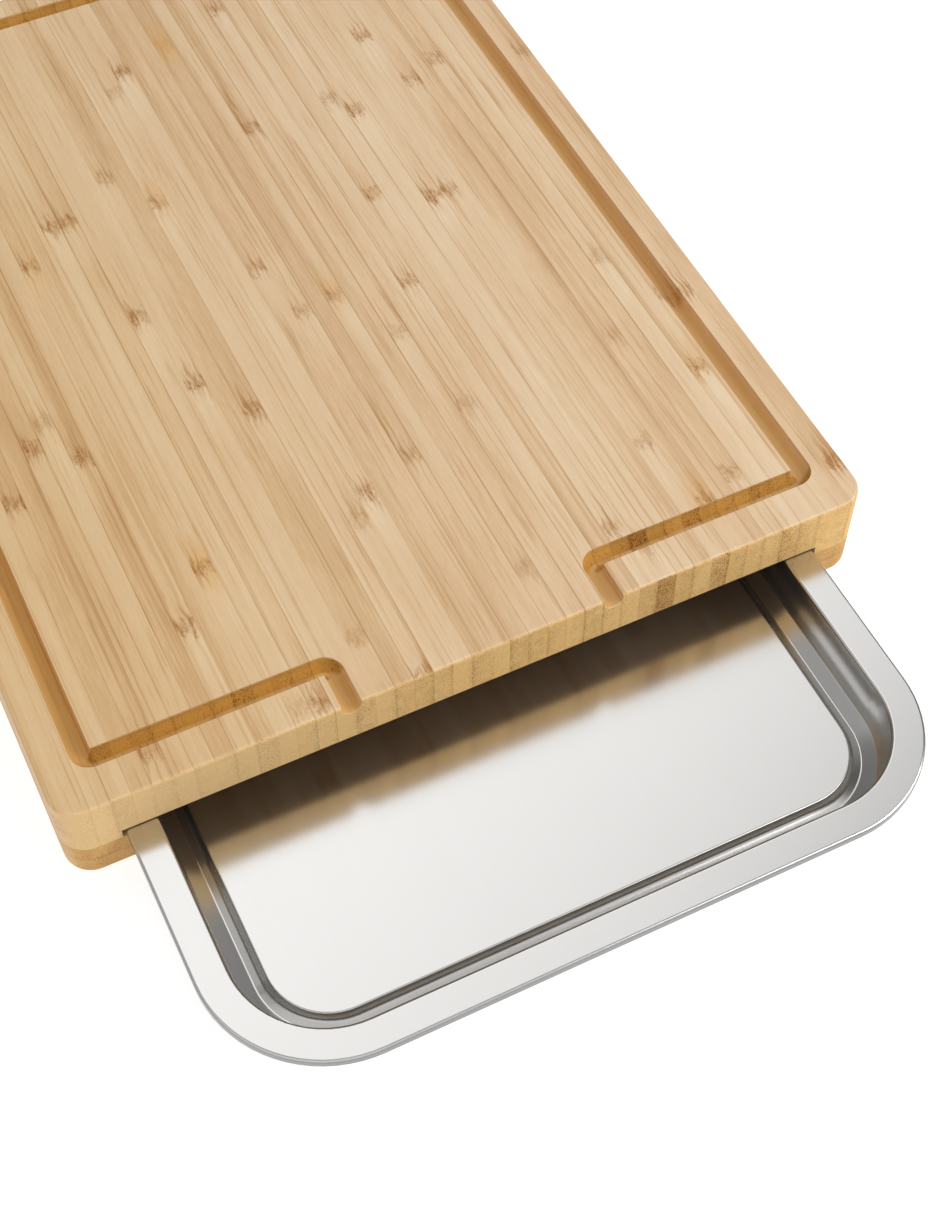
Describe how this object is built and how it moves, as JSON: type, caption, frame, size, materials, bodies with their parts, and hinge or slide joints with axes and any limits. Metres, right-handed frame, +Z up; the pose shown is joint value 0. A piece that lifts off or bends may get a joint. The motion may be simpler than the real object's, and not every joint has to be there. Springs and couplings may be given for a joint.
{
  "type": "cutting board with drawer tray",
  "caption": "Bamboo cutting board with a juice groove that drains over the front edge onto a stainless steel tray sliding out from under it.",
  "frame": {"origin": "on the surface that the feet stand on, at the centre of the whole object's footprint with the tray drawn out as at rest", "axes": "+X to the right along the front edge, +Y to the back, away from the side the tray comes out of, +Z up"},
  "size_m": [0.3, 0.495, 0.042],
  "materials": {
    "bamboo_top": "oiled, smooth",
    "bamboo_rail": "oiled, smooth",
    "stainless_steel": "satin",
    "silicone": "matt"
  },
  "bodies": {
    "board": {"foot_front_left": "silicone", "foot_front_right": "silicone", "foot_rear_left": "silicone", "foot_rear_right": "silicone", "left_rail_lower_ply": "bamboo_rail", "left_rail_upper_ply": "bamboo_rail", "rear_rail_lower_ply": "bamboo_rail", "rear_rail_upper_ply": "bamboo_rail", "right_rail_lower_ply": "bamboo_rail", "right_rail_upper_ply": "bamboo_rail", "top_stave_01": "bamboo_top", "top_stave_02": "bamboo_top", "top_stave_03": "bamboo_top", "top_stave_04": "bamboo_top", "top_stave_05": "bamboo_top", "top_stave_06": "bamboo_top", "top_stave_07": "bamboo_top", "top_stave_08": "bamboo_top", "top_stave_09": "bamboo_top", "top_stave_10": "bamboo_top", "top_stave_11": "bamboo_top", "top_stave_12": "bamboo_top", "top_stave_13": "bamboo_top", "top_stave_14": "bamboo_top", "top_stave_15": "bamboo_top", "top_stave_16": "bamboo_top", "top_stave_17": "bamboo_top", "top_stave_18": "bamboo_top", "top_stave_19": "bamboo_top", "top_stave_20": "bamboo_top", "top_stave_21": "bamboo_top", "top_stave_22": "bamboo_top", "top_stave_23": "bamboo_top", "top_stave_24": "bamboo_top", "top_stave_25": "bamboo_top", "top_stave_26": "bamboo_top", "top_stave_27": "bamboo_top", "top_stave_28": "bamboo_top", "top_stave_29": "bamboo_top", "top_stave_30": "bamboo_top", "top_stave_31": "bamboo_top", "top_stave_32": "bamboo_top", "top_stave_33": "bamboo_top", "top_stave_34": "bamboo_top", "top_stave_35": "bamboo_top", "top_stave_36": "bamboo_top", "top_stave_37": "bamboo_top", "top_stave_38": "bamboo_top", "top_stave_39": "bamboo_top", "top_stave_40": "bamboo_top", "top_stave_41": "bamboo_top", "top_stave_42": "bamboo_top", "top_stave_43": "bamboo_top"},
    "tray": {"tray": "stainless_steel"}
  },
  "joints": [
    {"name": "tray_slide", "type": "slide", "parent": "board", "child": "tray", "axis": [0, -1, 0], "range_m": [-0.0925, 0.237]}
  ]
}
